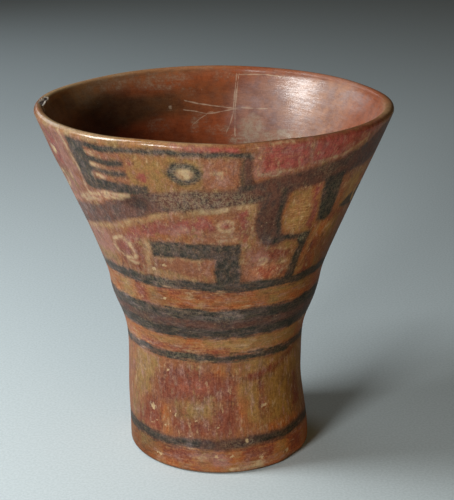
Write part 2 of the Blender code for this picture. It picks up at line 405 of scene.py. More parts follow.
# Pale greenish ochre washes
STRAW_PATCHES = (
    ((-62, 48), (-37, 49), (-40, 43), (-43, 38), (-47, 32), (-60, 28), (-66, 34)),
    ((-22, 31), (-12, 31.5), (-2, 31), (-1.5, 27.5), (-8, 25), (-14, 23.5), (-21, 24.5)),
    ((14, 49.5), (60, 49.5), (78, 46), (78, 20), (60, 19), (40, 20.5), (24, 22.5), (20.5, 31), (15, 35)),
    ((-52, 79), (-44, 79.5), (-45, 75.8), (-51, 75.6)),
    ((-66, 100), (-52, 101), (-50, 94), (-52, 90), (-62, 90), (-68, 94)),
    ((-56, 83.5), (-47, 83.5), (-46, 76), (-56, 76)),
    ((-34, 84), (-29.5, 84), (-29, 77), (-34, 76.5)),
    ((22, 84), (56, 84), (56, 80.5), (24, 80.8)), ((30, 80), (40, 80), (40, 76.5), (30, 76.5)),
    ((-6, 60.8), (60, 60.8), (60, 54.2), (12, 54.4), (4, 56.5), (-6, 57.5)),
    ((-44, 58.5), (-30, 59.8), (-20, 58.8), (-26, 57), (-40, 56.4)),
    ((-60, 11), (-44, 10.5), (-46, 7), (-58, 5)), ((-14, 10.8), (-2, 10.6), (-4, 7.4), (-13, 7)),
    ((40, 10.6), (48, 10.4), (46, 5), (41, 5.4)), ((6, 3.2), (24, 3.8), (26, 1), (4, 0.8)),
    ((32.5, 101.5), (36, 102), (35.6, 97), (33, 96.6)),
    ((55.5, 128), (66, 130), (66, 118), (60, 104), (53, 102), (51.5, 109.5), (55.2, 112)),
)

# Ochre grounds
OCHRE_STROKES = (
    (2.2, (-80, 101.6), (-66, 104.2), (-56, 106.6), (-48, 108.6), (-40, 111.4), (-31, 114.8),
     (-24, 117.6), (-16, 119.8), (-6, 121), (2, 122.2)),
)
OCHRE_PATCHES = (
    ((-28.4, 144), (-3.6, 144.2), (-3.4, 131.4), (-12, 129.8), (-22.5, 128), (-27.4, 131.6)),
    ((26.9, 128.4), (34.2, 129), (37.8, 119.9), (42.6, 106.9), (37, 107.4), (29.2, 109.2),
     (26.8, 113.5)),
    ((-26.6, 93), (-20, 92.2), (-12.2, 90.4), (-12, 88.6), (-26.8, 88.4)),
    ((28, 104.8), (36.8, 104.6), (36.4, 101), (29, 101.4)),
)

# Soft sandy lines beside the plum band and round the hook
SAND_STROKES = (
    (1.8, (-66, 104.4), (-56, 106.6), (-45.5, 109.7), (-33.2, 113.9), (-24, 117.1), (-15, 119.7),
     (-6.5, 120.7)),
    (1.8, (-28.6, 108.3), (-29.6, 98), (-30.6, 91.4)),
    (0.9, (-26.8, 98.5), (-12, 98.8), (0.2, 99.2)), (2, (-31.5, 91.4), (-20, 90.2), (-9.3, 88.8)),
    (1.5, (40.9, 128.3), (41.6, 120.4), (43.6, 112.8)),
    (1.2, (46, 110.6), (44.8, 100), (44.4, 90)),
)

# Cream outlines and highlights. The short stroke along the top of the front right lip is a painted
# highlight
CREAM_STROKES = (
    (1.6, (-4, 121.2), (2, 122.2), (9, 123.4), (14, 123.2)),
    (1.3, (14, 123), (14.3, 116), (14.6, 109.5)),
    (0.6, (20, 136.8), (27.5, 137.9), (34.3, 139.1), (41.6, 140.5), (47.3, 141.8), (51.9, 143.4),
     (57, 145.4)),
    # A painted highlight: it stands for the glint of light along the front right lip
    (0.8, (16.5, 148.9), (22, 149.1), (28, 149.4)),
    (1.1, (-54.4, 148.5), (-52.4, 142), (-51, 136), (-49.7, 129), (-50.4, 123.4)),
    (1.5, (-60, 118.2), (-52, 121.4), (-46.9, 123.2), (-40, 125), (-34, 125.6), (-30.4, 126.1)),
    (1, (-56, 118), (-46, 121.4), (-39, 123.4), (-33, 124.4)),
    (1.4, (-37.6, 103.4), (-40.1, 105.4), (-43.1, 104.9), (-46.2, 102.5), (-47.2, 99.5), (-46.2, 97.2),
     (-43.6, 96), (-40.2, 95.9)),
    (2.3, (-37.8, 103.2), (-37.1, 100.7), (-36.6, 98.1), (-38.4, 96.6)),
    (2, (-46.2, 102.5), (-44.2, 104.4)), (1, (-42, 94.4), (-38, 94), (-35, 94.8)),
    (0.9, (29.6, 96), (32, 95.4), (34.2, 96.2)), (0.8, (28, 102.4), (29.5, 102.1), (31, 101.4)),
    (1.8, (-42.2, 142.4), (-39.8, 142.2)), (1.5, (-42.6, 137.2), (-39.2, 136.9)),
    (1.6, (-42.8, 132.9), (-38.6, 132.4)), (1, (2, 108.2), (8.8, 109)),
    (1.1, (-0.8, 138.9), (1.4, 138.5)), (0.7, (2.2, 138.8), (2.4, 136.4)),
    (1.5, (8, 2.2), (13, 2.6), (20, 3), (28, 3)),
)
CREAM_SPOTS = (
    (-8.7, 137.2, 2.9, 2.3), (-66, 137.4, 3, 2), (-57, 104.6, 3.2, 1.7), (-59, 126.2, 1, 2.6),
)
CREAM_RINGS = (
    (20.8, 96.8, 1.5, 1.4, 0.6), (4.4, 115.2, 3, 2.2, 1), (-70, 124, 4, 3.4, 1.7),
    (72, 118, 4.6, 3.8, 1.8),
)

# Bands that run all the way round: low edge, high edge and, for some, a tilt in mm
DARK_BANDS = ((84, 88.5, 0.7), (70.4, 75.4), (61.6, 66.2), (50, 53.6))
PLUM_BANDS = ((61.6, 75.4), (10.9, 15.6, -0.6))
ORANGE_BANDS = ((75.4, 85.6), (53.6, 61.6), (-1, 12.4))

# All the marks of each paint, by their kind
DESIGN = {
    "dark": {"stroke": DARK_STROKES, "patch": DARK_PATCHES, "band": DARK_BANDS, "ring": (EYE,)},
    "plum": {"stroke": PLUM_STROKES, "patch": PLUM_PATCHES, "band": PLUM_BANDS},
    "crimson": {"patch": CRIMSON_PATCHES},
    "madder": {"patch": MADDER_PATCHES, "spot": MADDER_SPOTS},
    "peach": {"patch": PEACH_PATCHES, "stroke": PEACH_STROKES},
    "rose": {"patch": ROSE_PATCHES, "stroke": ROSE_STROKES},
    "orange": {"patch": ORANGE_PATCHES, "band": ORANGE_BANDS},
    "brick": {"patch": BRICK_PATCHES},
    "straw": {"patch": STRAW_PATCHES},
    "ochre": {"patch": OCHRE_PATCHES, "stroke": OCHRE_STROKES},
    "sand": {"stroke": SAND_STROKES},
    "cream": {"stroke": CREAM_STROKES, "spot": CREAM_SPOTS, "ring": CREAM_RINGS},
}

# How far the brush strays, as waves: amount, waves per radian of turn and per mm of height, and phase
SIDEWAYS_WAVES = ((0.35, 7.3, 0.21, 0.0), (0.22, -11.0, 0.47, 1.3))
UPRIGHT_WAVES = ((0.30, 9.1, 0.0, 0.8), (0.20, 23.0, 0.11, 0.0), (0.12, 41.0, 0.0, 2.1))


def face_turn(azimuth):
    """The back repeats the face, so its azimuths are read as the front's."""
    return (azimuth + 90.0) % 180.0 - 90.0


class Canvas:
    """Signed distances in mm, negative inside the paint, on the unrolled surface of the cup."""

    def __init__(self, azimuth, height, radius):
        self.azimuth = azimuth
        self.height = height
        self.millimetres = np.radians(1.0) * radius

    def offset(self, point):
        return (self.azimuth - point[0]) * self.millimetres, self.height - point[1]

    def segment(self, start, end):
        """Distance to a straight stroke between two points."""
        x, y = self.offset(start)
        run_x = (end[0] - start[0]) * self.millimetres
        run_y = np.full_like(x, end[1] - start[1])
        share = np.clip((x * run_x + y * run_y) / np.maximum(run_x ** 2 + run_y ** 2, TINY), 0.0, 1.0)
        return np.hypot(x - share * run_x, y - share * run_y)

    def line(self, *points):
        """Distance to a thin line, negative on its right-hand side, so that it crosses zero along the line.

        It also crosses zero a little way past both ends."""
        nearest = np.full_like(self.azimuth, FAR)
        signed = nearest.copy()
        for start, end in zip(points, points[1:]):
            x, y = self.offset(start)
            run_x = (end[0] - start[0]) * self.millimetres
            distance = self.segment(start, end)
            side = np.where(x * (end[1] - start[1]) > y * run_x, -1.0, 1.0)
            signed = np.where(distance < nearest, side * distance, signed)
            nearest = np.minimum(distance, nearest)
        return signed

    def stroke(self, width, *points):
        return union(self.segment(start, end) for start, end in zip(points, points[1:])) - width / 2

    def patch(self, *corners):
        """Distance to a closed outline."""
        distance = np.full_like(self.azimuth, FAR)
        inside = np.zeros(self.azimuth.shape, bool)
        for start, end in zip(corners, corners[1:] + corners[:1]):
            distance = np.minimum(distance, self.segment(start, end))
            crosses = (start[1] > self.height) != (end[1] > self.height)
            if start[1] != end[1]:
                level = (self.height - start[1]) / (end[1] - start[1])
                reach = start[0] + level * (end[0] - start[0])
                inside ^= crosses & (self.azimuth < reach)
        return np.where(inside, -distance, distance)

    def spot(self, centre, level, wide, tall):
        x, y = self.offset((centre, level))
        return (np.hypot(x / wide, y / tall) - 1.0) * min(wide, tall)

    def ring(self, centre, level, wide, tall, width):
        return np.abs(self.spot(centre, level, wide, tall)) - width / 2

    def band(self, low, high, tilt=0.0):
        """A band round the cup. A tilt lifts it on the left of each face and lowers it on the right."""
        level = self.height + tilt * np.sin(np.radians(2.0 * self.azimuth))
        return np.abs(level - (low + high) / 2) - (high - low) / 2


def union(distances):
    return np.minimum.reduce(list(distances))


def waves(terms, turn, height):
    total = 0.0
    for amount, around, along, phase in terms:
        total = total + amount * np.sin(around * turn + along * height + phase)
    return total


def paint_layers(azimuth, height, radius):
    """Signed distance in mm to the edge of each paint, on the outside of the cup."""
    turn = np.radians(azimuth)
    strayed_turn = face_turn(azimuth) + waves(SIDEWAYS_WAVES, turn, height)
    canvas = Canvas(strayed_turn, height + waves(UPRIGHT_WAVES, turn, height), radius)
    draw = {"stroke": canvas.stroke, "patch": canvas.patch, "spot": canvas.spot, "ring": canvas.ring,
            "band": canvas.band}
    layers = {}
    for paint, marks in DESIGN.items():
        layers[paint] = union(draw[kind](*mark) for kind, table in marks.items() for mark in table)
    return layers


# Linear colours of the clay and its tints
PAINT = {
    "clay": (0.27, 0.108, 0.048),
    "orange": (0.34, 0.132, 0.038),
    "brick": (0.225, 0.064, 0.03),
    "ochre": (0.29, 0.175, 0.045),
    "olive": (0.215, 0.145, 0.045),
    "pink": (0.33, 0.165, 0.092),
    "tan": (0.36, 0.245, 0.13),
    # Painted sheen: a pale veil for the inside wall round its highlight
    "sheen_and_haze": (0.37, 0.24, 0.19),
    "umber": (0.1, 0.044, 0.018),
    "deep_brown": (0.072, 0.036, 0.018),
    "rust": (0.236, 0.06, 0.022),
    # Painted sheen: a lavender veil for the inside wall beside its highlight
    "sheen_mauve": (0.25, 0.16, 0.14),
    "rose": (0.32, 0.155, 0.105),
    "cream": (0.48, 0.35, 0.22),
}

# Broad tints under the design: azimuth, height, half width and half height in mm, paint, strength
TINTS = (
    (-68, 138, 12, 12, "brick", 0.8), (-62, 127, 5, 4, "ochre", 0.6), (-38, 140, 6, 8, "brick", 0.6),
    (-30, 148.5, 26, 2.2, "ochre", 0.5), (4.5, 110.5, 7, 3.2, "pink", 0.8),
    (-15, 109, 13, 2, "orange", 0.7), (24, 96, 11, 8, "pink", 0.6), (-44, 95, 12, 9, "pink", 0.45),
    (-64, 96, 8, 9, "pink", 0.6), (52, 90, 8, 5, "ochre", 0.5), (-16, 38, 12, 8, "brick", 0.7),
    (42, 34, 15, 16, "olive", 0.5), (27, 30, 6, 10, "ochre", 0.45), (0, 24, 30, 6, "brick", 0.4),
)

# The same on the inside wall. Umber and deep brown make its left darker, and the pale and lavender tints
# round the highlight on its right are painted sheen
INNER_TINTS = (
    (186, 100, 62, 70, "rust", 1), (250, 120, 45, 60, "umber", 1), (256, 142, 34, 12, "olive", 0.45),
    (214, 130, 24, 26, "umber", 0.85), (228, 126, 30, 26, "deep_brown", 0.8), (198, 123, 20, 8, "rust", 0.9),
    (216, 122, 18, 7, "rust", 0.7), (188, 137, 24, 8, "umber", 0.45), (206, 145.5, 20, 6, "rust", 0.7),
    (222, 150, 44, 6.5, "clay", 0.75), (256, 146, 28, 8, "tan", 0.85), (120, 136, 46, 22, "rose", 0.9),
    (134, 138, 26, 15, "sheen_and_haze", 0.7), (160, 133, 15, 16, "sheen_mauve", 0.6), (92, 134, 30, 24, "rust", 0.75),
)

# The same on the lip, where handling has rubbed it; along the top at the front right it is tinted dark
LIP_TINTS = (
    (-50, 150, 28, 2.8, "tan", 0.85), (-8, 150, 12, 2.4, "tan", 0.55), (34, 150.9, 34, 1.5, "umber", 0.7),
    (80, 150, 20, 3, "tan", 0.55), (100, 150, 20, 3, "rust", 0.5), (150, 150.4, 40, 2.6, "rust", 0.5),
    (196, 150.4, 30, 2.6, "tan", 0.25), (236, 150, 34, 2.6, "tan", 0.45),
)

# Places where the paint and clay are darker (under 1) or lighter (over 1): azimuth, height, half width and
# half height in mm, factor. The broad dark spots on the right flank, at azimuths 62 to 80, are painted
# shade
SHADE_SPOTS = (
    (-28, 123.2, 5.6, 3.4, 0.52), (0, 117, 9, 3, 1.18), (13, 122, 4, 3, 1.22), (12, 107, 5, 3, 1.15),
    (-3, 122, 6, 2.2, 0.84), (2, 139, 9, 7, 1.14), (11.5, 144.5, 3, 2.5, 1.3), (-36, 91, 10, 3, 0.86),
    (-25, 112.5, 9, 3, 0.86), (28, 41.4, 7, 1.2, 0.8), (40, 44, 7, 1.2, 0.8), (53, 47.4, 7, 1.2, 0.8),
    (20, 69.5, 14, 3, 0.78), (24, 92, 5, 3, 1.15), (8, 75, 6, 1.8, 1.22), (-57, 74, 9, 3, 1.28),
    (-60, 20, 7, 5, 0.82), (53, 108, 5, 4, 1.3), (-6, 103, 6, 3, 1.3), (1, 7, 6, 3, 0.88),
    (12, 13.4, 20, 2.8, 0.72), (24, 92.5, 7, 4, 1.45), (-14, 38.5, 8, 4, 1.28), (-39, 9.6, 7, 2.4, 0.75),
    (39, 126, 4, 4, 1.35), (-29, 78.5, 7, 3.5, 0.7), (-7, 70.6, 7, 3, 0.75), (-66, 113, 9, 5, 1.35),
    (80, 105, 12, 40, 0.75), (-46, 138, 4, 9, 1.25), (33, 118, 6, 9, 1.5), (50, 106, 7, 6, 1.25),
    (-5, 126, 14, 3, 1.25), (20, 116, 5, 8, 0.84), (24, 86.5, 8, 3, 1.22), (-56, 53, 9, 4, 1.22),
    (62, 100, 14, 44, 0.75), (7, 72.5, 7, 2, 1.15), (60, 122, 12, 10, 1.6), (68, 94, 8, 10, 0.75),
    (76, 40, 12, 40, 0.8), (0, 80, 22, 5, 0.94), (-28, 32, 16, 16, 0.86), (6, 57.5, 14, 4, 1.22),
    (36, 6, 12, 5, 1.05), (24, 34, 10, 14, 1.12), (-40, 68, 12, 7, 0.8), (-18, 95, 14, 5, 0.88),
    (-60, 132, 16, 18, 0.86), (40, 64, 20, 3, 0.8), (-62, 5, 16, 9, 0.62),
)

# Where the paint is rubbed to fine pale speckle: the same, with a strength in place of the factor
SPECKLED = (
    (-5, 125.8, 18, 5, 0.68), (8, 126, 8, 4, 0.65), (-30, 104, 16, 3, 0.22), (-25, 87, 7, 2.5, 0.3),
    (-20, 52, 8, 2, 0.3), (-44, 68, 6, 7, 0.2), (5, 72, 8, 3, 0.2), (-16, 74, 12, 2, 0.15),
    (14, 13, 9, 2, 0.25), (46, 122, 5, 9, 0.25), (40, 135.4, 7, 3, 0.35), (38.5, 105.8, 2.4, 2, 0.9),
    (-9, 138, 6, 5, 0.5), (-12, 145.6, 34, 1.6, 0.2),
)

# Where the paint is warmer; on the right flank this is partly painted light, the warm light that reaches
# the side in shade
WARM = (
    (80, 100, 40, 33, 1), (84, 30, 40, 40, 1), (50, 145.5, 9, 4, 0.55),
)

# Milky veil, stronger where the photograph shows the paint greyed: mostly painted sheen, on the left flank
# and on the dark bands, and partly a dusty bloom on the paint
HAZE_AND_SHEEN = (
    (-60, 100, 42, 80, 1.15), (-8, 60, 34, 80, 1), (-18, 6, 9, 4, 1.6), (34, 3, 9, 3, 2.4),
    (-47.5, 137, 3.6, 9, 1.5), (-9, 138, 6, 5, 1.6), (-12, 145.6, 34, 1.8, 1.8), (30, 145, 9, 6, 1.3),
    (20, 106, 4, 3.5, 1.8), (-14, 37, 16, 5, 1.4), (2, 72, 14, 4, 2), (-12, 13.8, 8, 3.2, 3.2),
    (-56, 53, 9, 4, 2), (-56, 73.5, 10, 4, 2.2), (2, 139, 9, 7, 1.3), (22, 147, 8, 2.4, 1.6),
    (-58, 112, 9, 5, 2.2), (-34, 66, 8, 4, 0.9),
)

# Where fine level scratches cut the paint
SCRAPED = (
    (33, 117, 6, 8, 1), (-8, 136, 6, 7, 0.35), (20, 145, 10, 4, 0.35),
)

# Rubbed, dusty places inside and outside
INNER_SCUFFS = (
    (163.2, 125.6, 7, 5.6, 1), (189.1, 124.5, 2.4, 5, 0.74), (179, 123.8, 7, 3, 0.74),
    (187, 128, 5, 4, 0.55), (205, 127, 10, 4, 0.55), (202, 145, 18, 5, 0.62), (222, 147, 20, 4, 0.66),
    (168, 120.4, 8, 2.4, 0.95), (157, 121.2, 9, 3.2, 0.95), (146, 122.4, 12, 4, 0.95),
    (176, 146, 8, 4, 0.5), (191.5, 140.6, 5, 4, 0.5), (166, 147, 6, 1.6, 0.55), (137, 128, 14, 6, 0.35),
    (-30, 128, 16, 8, 0.3), (165, 149.4, 34, 2, 0.4),
)
OUTER_SCUFFS = (
    (1, 138.2, 4, 1.6, 0.45), (-6, 99, 8, 1, 0.4), (18, 137, 7, 1.8, 0.8), (35, 139.5, 6, 1.2, 0.6),
    (-66, 137.5, 3, 3, 0.8), (4, 110, 6, 3, 0.6), (21, 97, 6, 6, 0.45), (30, 92, 5, 4, 0.45),
    (38.5, 97.5, 1.8, 3, 0.5), (-42, 93, 8, 3, 0.4), (7, 72.6, 6, 1.8, 0.25), (-24, 95, 4, 1.8, 0.45),
    (-12, 60.6, 4, 1.4, 0.5), (-38, 84, 5, 1.8, 0.35), (-32, 44.5, 3, 1.6, 0.5), (-50, 42, 5, 2.2, 0.5),
    (-12, 28, 6, 3.5, 0.5), (-44, 26, 3, 2.4, 0.7), (28, 18.5, 9, 1.8, 0.5), (20, 13.6, 3, 1.5, 0.6),
    (-4, 13.6, 9, 2, 0.25), (18, 37, 9, 8, 0.35), (-8, 8, 9, 3, 0.4), (-41, 4.5, 3, 1.6, 0.6),
)

# Scratches on the inside wall, as points (azimuth, height), and small bare spots
INNER_SCRATCHES = (
    ((171.6, 146.6), (171.9, 138.9), (172.1, 132.6), (172, 131.1), (173.4, 125.5), (174.8, 122.6)),
    ((192.4, 136), (187, 134.5), (180.7, 133.5), (172.3, 132.6), (168.1, 133), (162.3, 133),
     (157.9, 133.3)),
    ((193.1, 132.1), (189.3, 131.6), (183.6, 130.2), (179.3, 130.7), (172.3, 132.2)),
    ((170.8, 146), (171.2, 138.9), (171.4, 131.9), (170.8, 121.4)),
    ((170.6, 146.6), (161, 147.2), (150, 146.8)), ((183.6, 130), (186.6, 128.3), (189.7, 126)),
)
INNER_SPOTS = (
    (199.2, 133.7, 0.8, 0.7), (185.1, 140, 0.5, 0.4),
)

# Distances to paint are kept within this many mm, and azimuths count as on a cup of this radius at least
PAINT_REACH = 6.0
SMALLEST_RADIUS = 20.0

# What belongs to one face fades towards the seams at the sides, over this many degrees
SEAM_FADE = 9.0

# A soft spot falls to nothing at this share of its half width, over this share
SPOT_END = 1.35
SPOT_SLOPE = 0.8


class Places:
    """Soft ovals on the surface, each 1 in its middle and 0 a little beyond its edge."""

    def __init__(self, azimuth, height, radius):
        self.azimuth = azimuth
        self.height = height
        self.radius = radius

    def spot(self, centre, level, wide, tall):
        across = np.radians(gap_between(self.azimuth, centre)) * self.radius / wide
        along = (self.height - level) / tall
        return smooth((SPOT_END - np.hypot(across, along)) / SPOT_SLOPE)

    def tinted(self, colour, tints):
        """The colours given, with broad soft patches of other tints over them."""
        colour = colour.copy()
        for *place, paint, strength in tints:
            share = strength * self.spot(*place)
            colour += share[..., None] * (np.array(PAINT[paint]) - colour)
        return colour

    def strength(self, spots):
        """The strongest of the spots at each place, at least 0."""
        share = np.zeros(self.azimuth.shape)
        for *place, amount in spots:
            share = np.maximum(share, amount * self.spot(*place))
        return share

    def factor(self, spots):
        """The factors of all the spots, multiplied."""
        factor = np.ones(self.azimuth.shape)
        for *place, amount in spots:
            factor *= 1.0 + (amount - 1.0) * self.spot(*place)
        return factor


def closed_mesh(name, points):
    """One closed surface through a grid of points in mm, with a fan of triangles at each end."""
    rows, columns = points.shape[:2]
    index = np.arange(rows * columns).reshape(rows, columns)
    ahead = np.roll(index, -1, axis=1)
    first, last = rows * columns, rows * columns + 1
    faces = np.stack([index[:-1], ahead[:-1], ahead[1:], index[1:]], -1).reshape(-1, 4).tolist()
    faces += [(first, int(b), int(a)) for a, b in zip(index[0], ahead[0])]
    faces += [(last, int(a), int(b)) for a, b in zip(index[-1], ahead[-1])]
    vertices = np.concatenate([points.reshape(-1, 3), [points[0].mean(0), points[-1].mean(0)]]) * MM
    mesh = bpy.data.meshes.new(name)
    mesh.from_pydata(vertices.tolist(), [], faces)
    mesh.shade_smooth()
    return mesh


def add_attribute(mesh, name, values):
    """Stores a grid of numbers or of triples. The two end points take the mean of the row next to them."""
    kind, key = ("FLOAT", "value") if values.ndim == 2 else ("FLOAT_VECTOR", "vector")
    flat = np.concatenate([values.reshape(-1, *values.shape[2:]), [values[0].mean(0), values[-1].mean(0)]])
    attribute = mesh.attributes.new(name, kind, "POINT")
    attribute.data.foreach_set(key, flat.astype(np.float32).reshape(-1))


def surface_fields(turn, height, radius, on_outside):
    """What the material reads: distances to the paint, tints and strengths of wear."""
    facing = face_turn(turn)
    off_seam = smooth((90.0 - np.abs(facing)) / SEAM_FADE)
    face = Places(facing, height, radius)
    whole = Places(turn, height, radius)
    inner = Canvas(turn % 360.0, height, radius)
    fields = {}
    for name, distance in paint_layers(turn, height, radius).items():
        fields[name] = np.where(on_outside, distance, PAINT_REACH)
    near_scratch = union(inner.stroke(0.0, *points) for points in INNER_SCRATCHES)
    fields["near_scratch"] = np.where(on_outside, PAINT_REACH, near_scratch)
    fields["spots"] = np.where(on_outside, PAINT_REACH, union(inner.spot(*item) for item in INNER_SPOTS))
    # An attribute holds three scratches
    for name, lines in (("scratches", INNER_SCRATCHES[:3]), ("small_scratches", INNER_SCRATCHES[3:])):
        distances = np.stack([inner.line(*points) for points in lines], -1)
        fields[name] = np.where(on_outside[..., None], PAINT_REACH, distances)
    for name in fields:
        fields[name] = np.clip(fields[name], -PAINT_REACH, PAINT_REACH)

    for name, spots in (("speckle", SPECKLED), ("warm", WARM), ("hazed_and_sheen", HAZE_AND_SHEEN), ("scraped", SCRAPED)):
        fields[name] = np.where(on_outside, face.strength(spots) * off_seam, 0.0)
    fields["shade"] = np.where(on_outside, 1.0 + (face.factor(SHADE_SPOTS) - 1.0) * off_seam, 1.0)
    fields["scuff"] = np.where(on_outside, face.strength(OUTER_SCUFFS), whole.strength(INNER_SCUFFS))
    clay = np.broadcast_to(np.array(PAINT["clay"]), turn.shape + (3,))
    outer_tint = clay + (face.tinted(clay, TINTS) - clay) * off_seam[..., None]
    tint = np.where(on_outside[..., None], outer_tint, whole.tinted(clay, INNER_TINTS))
    fields["tint"] = whole.tinted(tint, LIP_TINTS)
    return fields


def make_cup():
    """The whole cup as one closed surface, with its paint laid on as distances that the material reads."""
    section, lip_top = half_section()
    steps = np.hypot(*np.diff(section, axis=0).T)
    travel = np.concatenate([[0.0], np.cumsum(steps)])
    distance = travel - travel[lip_top]
    azimuth = np.arange(COLUMNS) * 360.0 / COLUMNS
    points = shape_point_rows(azimuth, section)
    worn = wear_foot(points)
    flake = dent(points, section, azimuth, distance, LIP_FLAKES)
    height_outside = np.where(distance < 0, section[:, 1], -FAR)
    pit = dent(points, section, azimuth, height_outside, OUTER_PITS)
    mesh = closed_mesh("kero_cup_surface", points)

    grid = points.shape[:2]
    depth_in = np.broadcast_to(distance[:, None], grid)
    turn = np.broadcast_to(gap_between(azimuth, 0.0), grid)
    height = np.broadcast_to(section[:, 1:], grid)
    radius = np.broadcast_to(np.maximum(section[:, :1], SMALLEST_RADIUS), grid)
    fields = surface_fields(turn, height, radius, depth_in < 0)
    fields.update(depth_in=depth_in, flake=flake, pit=pit, worn=worn)
    for name, values in fields.items():
        add_attribute(mesh, name, values)

    cup = bpy.data.objects.new("painted_cup", mesh)
    bpy.context.scene.collection.objects.link(cup)
    return cup


class Tree:
    """Short calls for building a material's nodes."""

    def __init__(self, name):
        self.material = bpy.data.materials.new(name)
        self.material.use_nodes = True
        self.nodes = self.material.node_tree.nodes
        self.links = self.material.node_tree.links
        self.nodes.clear()

    def add(self, kind, inputs=None, **settings):
        """A node with its settings, each input joined to a socket or set to a value."""
        made = self.nodes.new(kind)
        for key, value in settings.items():
            setattr(made, key, value)
        for key, value in (inputs or {}).items():
            if isinstance(value, bpy.types.NodeSocket):
                self.links.new(value, made.inputs[key])
            else:
                made.inputs[key].default_value = value
        return made

    def maths(self, operation, *values):
        return self.add("ShaderNodeMath", dict(enumerate(values)), operation=operation).outputs[0]

    def times(self, first, second):
        return self.maths("MULTIPLY", first, second)

    def plus(self, first, second):
        return self.maths("ADD", first, second)

    def larger(self, first, second):
        return self.maths("MAXIMUM", first, second)

    def linear(self, value, slope, start):
        return self.maths("MULTIPLY_ADD", value, slope, start)

    def rest(self, share):
        return self.maths("SUBTRACT", 1.0, share)

    def scaled(self, vector, factors):
        """Multiplies a position or a colour by three factors."""
        inputs = {0: vector, 1: factors}
        return self.add("ShaderNodeVectorMath", inputs, operation="MULTIPLY").outputs[0]

    def parts(self, vector):
        return self.add("ShaderNodeSeparateXYZ", {0: vector}).outputs

    def attribute(self, name, output="Fac"):
        return self.add("ShaderNodeAttribute", attribute_name=name).outputs[output]

    def step(self, value, low, high, start=0.0, end=1.0):
        """Smooth rise from start to end as value goes from low to high."""
        inputs = {"Value": value, "From Min": low, "From Max": high, "To Min": start, "To Max": end}
        return self.add("ShaderNodeMapRange", inputs, interpolation_type="SMOOTHSTEP").outputs[0]

    def noise(self, vector, scale, detail=3.0, roughness=0.55, output=0):
        """A noise field. Output 1 holds three that differ, as a colour."""
        inputs = {"Vector": vector, "Scale": scale, "Detail": detail, "Roughness": roughness}
        return self.add("ShaderNodeTexNoise", inputs).outputs[output]

    def mix(self, share, first, second):
        """Mixes two colours, each a socket or (r, g, b)."""
        inputs = {0: share, 6: first, 7: second}
        for key in (6, 7):
            if not isinstance(inputs[key], bpy.types.NodeSocket):
                inputs[key] = (*inputs[key], 1.0)
        return self.add("ShaderNodeMix", inputs, data_type="RGBA").outputs[2]

    def blend(self, share, first, second):
        """Number between first and second."""
        return self.linear(share, self.maths("SUBTRACT", second, first), first)

    def weigh(self, *fields):
        """Weighted sum of noise fields, each taken about its middle, so it is 0 on average."""
        (field, weight), *others = fields
        total = self.linear(field, weight, -weight / 2)
        for field, weight in others:
            total = self.linear(self.maths("SUBTRACT", field, 0.5), weight, total)
        return total

    def shade(self, colour, value):
        """Multiplies a colour by a number that varies over the surface."""
        grey = self.add("ShaderNodeCombineXYZ", {0: value, 1: value, 2: value}).outputs[0]
        return self.scaled(colour, grey)


# Order of painting: paint, kind of edge, softness of the edge in mm, share that wear takes off, its main
# shade, and a second one that the brush marks, wear and dirt bring out
COATS = (
    ("orange", "brush", 1.4, 0.4, (0.34, 0.092, 0.022), (0.26, 0.104, 0.03)),
    ("peach", "brush", 1.4, 0.4, (0.27, 0.1, 0.048), (0.214, 0.072, 0.033)),
    ("straw", "wash", 2.6, 0.6, (0.3, 0.172, 0.056), (0.19, 0.098, 0.032)),
    ("brick", "wash", 2.6, 0.45, (0.215, 0.05, 0.024), (0.14, 0.033, 0.018)),
    ("ochre", "brush", 1.3, 0.4, (0.285, 0.158, 0.05), (0.225, 0.096, 0.032)),
    ("crimson", "brush", 1.2, 0.4, (0.4, 0.084, 0.07), (0.225, 0.04, 0.032)),
    ("madder", "wash", 1.8, 0.4, (0.28, 0.066, 0.047), (0.195, 0.045, 0.034)),
    ("rose", "wash", 2, 0.6, (0.35, 0.155, 0.118), (0.24, 0.088, 0.06)),
    ("sand", "brush", 1.6, 0.6, (0.4, 0.25, 0.12), (0.3, 0.14, 0.072)),
    ("plum", "brush", 1.2, 0.16, (0.13, 0.05, 0.034), (0.056, 0.028, 0.022)),
    ("dark", "brush", 1, 0.14, (0.028, 0.026, 0.02), (0.05, 0.03, 0.022)),
    ("cream", "brush", 0.9, 0.6, (0.53, 0.38, 0.215), (0.39, 0.215, 0.115)),
)

# Linear colours of wear and dirt, of the painted milky sheen, and of the painted contact shade at the foot
WEAR = {
    "veil": (0.33, 0.165, 0.125),
    "rub": (0.43, 0.3, 0.165),
    "scrape": (0.56, 0.39, 0.17),
    "cut": (0.2, 0.08, 0.024),
    "milky_sheen": (0.33, 0.28, 0.29),
    "scratch": (0.5, 0.41, 0.3),
    "fleck": (0.35, 0.3, 0.18),
    "dust": (0.39, 0.325, 0.225),
    "pit": (0.5, 0.37, 0.21),
    "broken": (0.78, 0.74, 0.66),
    "hollow": (0.13, 0.105, 0.1),
    "foot_contact_shade": (0.035, 0.03, 0.02),
    "bare_foot": (0.2, 0.16, 0.11),
}

# Factors on red, green and blue that turn a colour into another shade of it
TONES = {
    "second": (0.66, 0.52, 0.46),
    "warm": (1.04, 0.87, 0.48),
    "stained": (0.46, 0.4, 0.38),
    "inner_dark": (0.66, 0.58, 0.56),
    "inner_light": (1.16, 1.1, 1.0),
    "inner_veil": (1.15, 1.6, 2.1),
    "lip": (1.15, 1.2, 1.2),
}


# Heights in mm over which level brush marks begin and end, at the bands and at the foot
BANDS_BEGIN = (47.0, 51.0)
BANDS_END = (89.0, 86.0)
FOOT_BAND_END = (17.0, 13.0)

# How deep the bump's relief is, in mm, and how strongly it shows
BUMP_DEPTH = 0.25
BUMP_STRENGTH = 0.6


